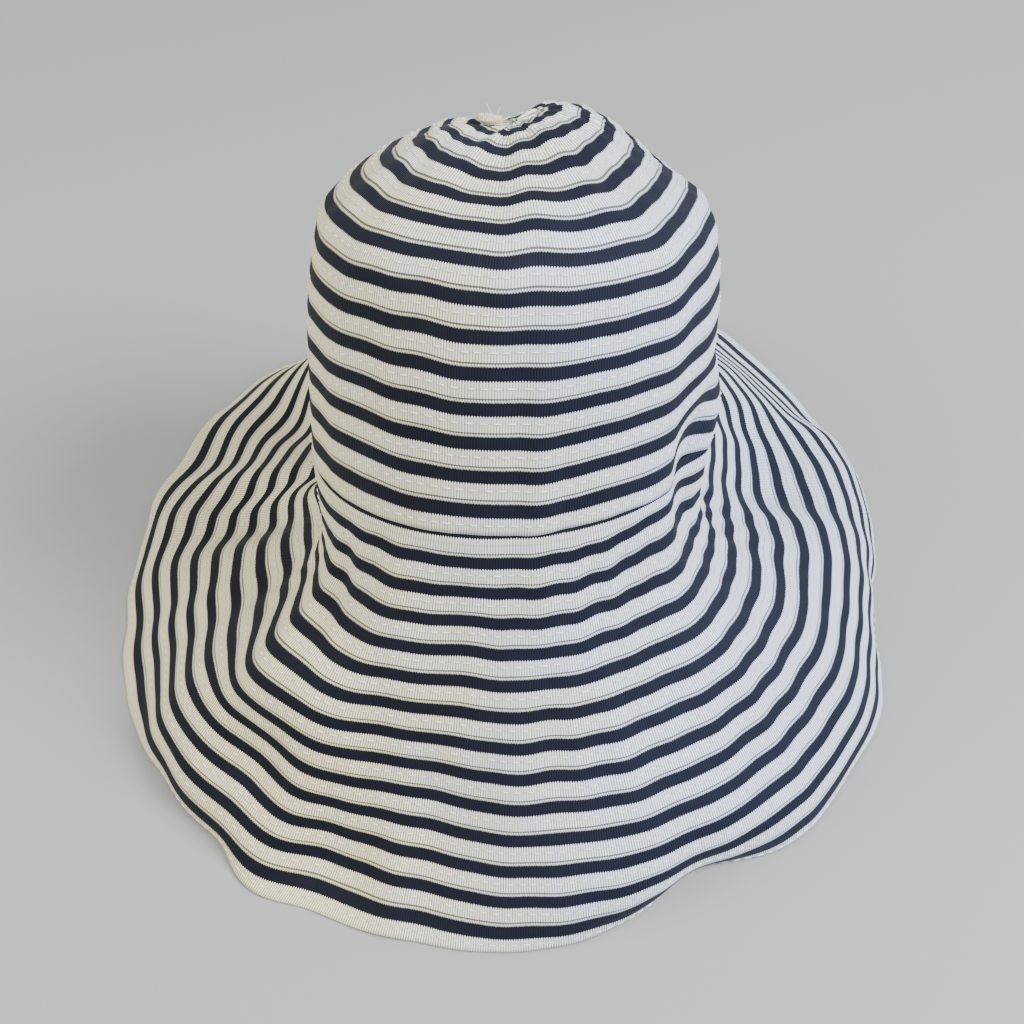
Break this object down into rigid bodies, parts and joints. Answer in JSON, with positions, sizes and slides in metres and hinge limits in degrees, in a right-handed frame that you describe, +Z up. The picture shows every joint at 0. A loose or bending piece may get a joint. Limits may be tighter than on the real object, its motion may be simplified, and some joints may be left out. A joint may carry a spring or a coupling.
{
  "type": "wide-brim bucket hat",
  "caption": "Soft sun hat sewn in a spiral from striped ribbon: a tall round crown and a wide bell brim that falls in folds to its hem.",
  "frame": {"origin": "on the surface that the hem rests on, under the middle of the whole hat", "axes": "+Z up; +X to the right as seen from the front; +Y towards the back, where the crown leans"},
  "size_m": [0.4278, 0.4358, 0.289],
  "materials": {
    "striped_ribbon": "ribbed ribbon, ivory with a navy stripe",
    "cream_ribbon": "ribbed cream ribbon, soft and slightly see-through"
  },
  "bodies": {
    "root": {"crown": "striped_ribbon", "brim": "striped_ribbon", "ribbon_knot": "cream_ribbon"}
  },
  "joints": []
}
